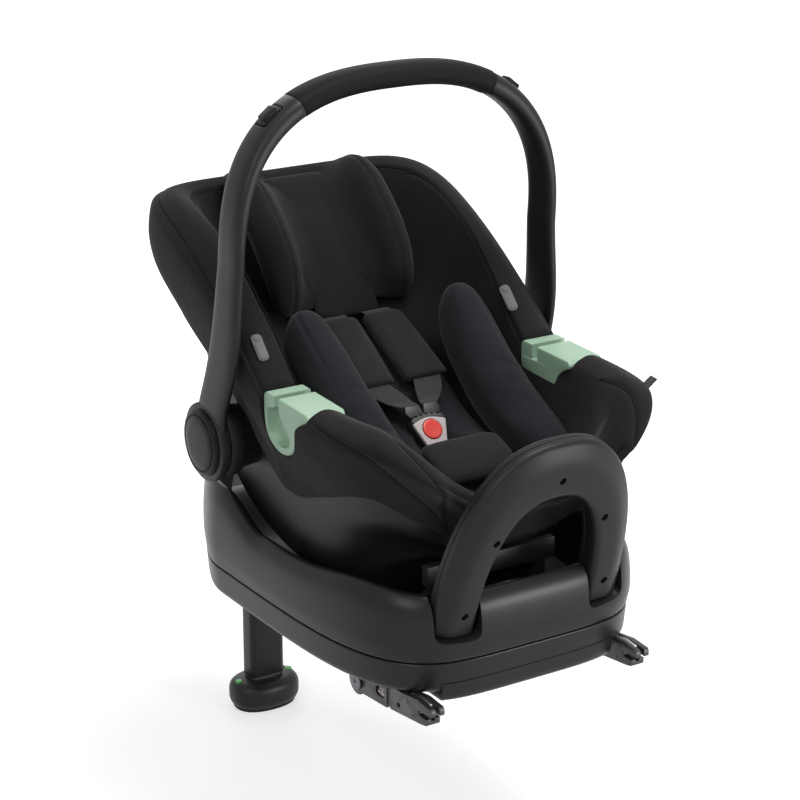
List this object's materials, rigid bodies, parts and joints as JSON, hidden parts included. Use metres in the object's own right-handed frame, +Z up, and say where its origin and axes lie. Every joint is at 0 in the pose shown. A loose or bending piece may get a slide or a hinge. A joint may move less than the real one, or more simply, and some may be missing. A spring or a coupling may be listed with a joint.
{
  "type": "infant car seat",
  "caption": "Rearward-facing infant car seat: padded carrier with swivelling handle, docked on a base with anchor connectors, a rebound bar and a folding support leg.",
  "frame": {"origin": "middle of the anchor-bar axis, halfway between the two connectors, at the centre of their jaw slots", "axes": "+X across the seat, along the anchor-bar axis; +Y from the foot end towards the head end; +Z up"},
  "size_m": [0.4748, 0.7249, 0.9388],
  "materials": {
    "shell_plastic": "satin charcoal",
    "trim_plastic": "matte",
    "handle_plastic": "satin charcoal",
    "grip": "soft matt",
    "screw_steel": "black",
    "bare_steel": "zinc plated",
    "dark_steel": "powder coated",
    "isofix_plastic": "dark satin",
    "light_plastic": "light grey",
    "leg_metal": "dark satin",
    "leg_inner": "satin",
    "rubber": "matt",
    "indicator": "green",
    "foam": "moulded foam",
    "cover_fabric": "fine matt knit",
    "insert_fabric": "soft jersey",
    "guide_plastic": "mint",
    "webbing": "woven",
    "button_red": "red",
    "tag": "soft grey"
  },
  "bodies": {
    "base": {"base_lower_shell": "shell_plastic", "base_upper_shell": "shell_plastic", "dock_cradle": "trim_plastic", "dock_bars": "bare_steel", "rebound_bar_front": "shell_plastic", "rebound_bar_rear": "shell_plastic", "rebound_bar_screws": "screw_steel", "underside_pads": "rubber", "isofix_brackets": "bare_steel", "leg_pin": "bare_steel"},
    "isofix_left": {"isofix_arm_left": "dark_steel", "isofix_housing_left": "isofix_plastic"},
    "isofix_right": {"isofix_arm_right": "dark_steel", "isofix_housing_right": "isofix_plastic"},
    "isofix_hook_left": {"isofix_hook_left": "bare_steel"},
    "isofix_hook_right": {"isofix_hook_right": "bare_steel"},
    "isofix_release_left": {"isofix_release_left": "light_plastic"},
    "isofix_release_right": {"isofix_release_right": "light_plastic"},
    "leg_upper": {"leg_outer_tube": "leg_metal"},
    "leg_lock": {"leg_button": "trim_plastic"},
    "leg_lower": {"leg_inner_tube": "leg_inner", "foot_shell": "shell_plastic", "foot_sole": "rubber", "foot_indicators": "indicator"},
    "carrier": {"carrier_shell": "shell_plastic", "foam_liner": "foam", "seat_cover": "cover_fabric", "seat_pad": "cover_fabric", "insert_cushion": "insert_fabric", "insert_bolster_left": "insert_fabric", "insert_bolster_right": "insert_fabric", "belt_guide_left": "guide_plastic", "belt_guide_right": "guide_plastic", "hub_axles": "bare_steel", "shoulder_pad_left": "cover_fabric", "shoulder_pad_right": "cover_fabric", "harness_straps": "webbing", "harness_tongues": "trim_plastic", "buckle_body": "light_plastic", "crotch_pad": "cover_fabric", "adjuster_strap": "webbing", "side_tags": "tag", "pull_tab": "webbing"},
    "headrest": {"headrest_pad": "cover_fabric", "headrest_wing_left": "cover_fabric", "headrest_wing_right": "cover_fabric"},
    "handle": {"handle_arm_left": "handle_plastic", "handle_arm_right": "handle_plastic", "handle_grip": "grip", "hub_cap_left": "trim_plastic", "hub_cap_right": "trim_plastic"},
    "handle_button_left": {"handle_button_left": "trim_plastic"},
    "handle_button_right": {"handle_button_right": "trim_plastic"},
    "buckle_release": {"buckle_button": "button_red"},
    "adjuster": {"adjuster_button": "trim_plastic"},
    "carrier_latch": {"latch_pawls": "bare_steel"},
    "release_lever": {"release_lever": "trim_plastic"}
  },
  "joints": [
    {"name": "carrier_lift", "type": "slide", "parent": "base", "child": "carrier", "axis": [0, 0, 1], "range_m": [0, 0.3]},
    {"name": "handle_fold", "type": "hinge", "parent": "carrier", "child": "handle", "pos_m": [0, 0.337, 0.226], "axis": [1, 0, 0], "range_deg": [-95, 55]},
    {"name": "handle_button_left_press", "type": "slide", "parent": "handle", "child": "handle_button_left", "axis": [0.6261, 0, -0.7798], "range_m": [0, 0.003], "stiffness_N_per_m": 500},
    {"name": "handle_button_right_press", "type": "slide", "parent": "handle", "child": "handle_button_right", "axis": [-0.6261, 0, -0.7798], "range_m": [0, 0.003], "stiffness_N_per_m": 500},
    {"name": "isofix_left_fold", "type": "hinge", "parent": "base", "child": "isofix_left", "pos_m": [-0.14, 0.13, -0.013], "axis": [1, 0, 0], "range_deg": [0, 180]},
    {"name": "isofix_release_left_slide", "type": "slide", "parent": "isofix_left", "child": "isofix_release_left", "axis": [0, 1, 0], "range_m": [0, 0.004]},
    {"name": "isofix_hook_left_close", "type": "hinge", "parent": "isofix_left", "child": "isofix_hook_left", "pos_m": [-0.14, 0.026, 0.004], "axis": [1, 0, 0], "range_deg": [0, 8]},
    {"name": "isofix_right_fold", "type": "hinge", "parent": "base", "child": "isofix_right", "pos_m": [0.14, 0.13, -0.013], "axis": [1, 0, 0], "range_deg": [0, 180]},
    {"name": "isofix_release_right_slide", "type": "slide", "parent": "isofix_right", "child": "isofix_release_right", "axis": [0, 1, 0], "range_m": [0, 0.004]},
    {"name": "isofix_hook_right_close", "type": "hinge", "parent": "isofix_right", "child": "isofix_hook_right", "pos_m": [0.14, 0.026, 0.004], "axis": [1, 0, 0], "range_deg": [0, 8]},
    {"name": "leg_fold", "type": "hinge", "parent": "base", "child": "leg_upper", "pos_m": [0, 0.623, 0.068], "axis": [1, 0, 0], "range_deg": [-76, 0]},
    {"name": "leg_extend", "type": "slide", "parent": "leg_upper", "child": "leg_lower", "axis": [0, 0, -1], "range_m": [0, 0.12]},
    {"name": "leg_button_press", "type": "slide", "parent": "leg_upper", "child": "leg_lock", "axis": [0, -1, 0], "range_m": [0, 0.003], "stiffness_N_per_m": 600},
    {"name": "headrest_height", "type": "slide", "parent": "carrier", "child": "headrest", "axis": [0, 0.7615, 0.6481], "range_m": [0, 0.03]},
    {"name": "buckle_button_press", "type": "slide", "parent": "carrier", "child": "buckle_release", "axis": [0, 0.7771, -0.6293], "range_m": [0, 0.003], "stiffness_N_per_m": 800},
    {"name": "adjuster_button_press", "type": "slide", "parent": "carrier", "child": "adjuster", "axis": [0, 0, -1], "range_m": [0, 0.003], "stiffness_N_per_m": 600},
    {"name": "release_lever_slide", "type": "slide", "parent": "carrier", "child": "release_lever", "axis": [0, -0.6662, -0.7458], "range_m": [0, 0.008]},
    {"name": "latch_pawl_turn", "type": "hinge", "parent": "carrier", "child": "carrier_latch", "pos_m": [0, 0.396, 0.084], "axis": [-1, 0, 0], "range_deg": [0, 20]}
  ],
  "couplings": [
    {"joint": "isofix_hook_left_close", "follows": "isofix_release_left_slide", "rad_per_m": 34.8},
    {"joint": "isofix_hook_right_close", "follows": "isofix_release_right_slide", "rad_per_m": 34.8},
    {"joint": "latch_pawl_turn", "follows": "release_lever_slide", "rad_per_m": 43.6}
  ]
}
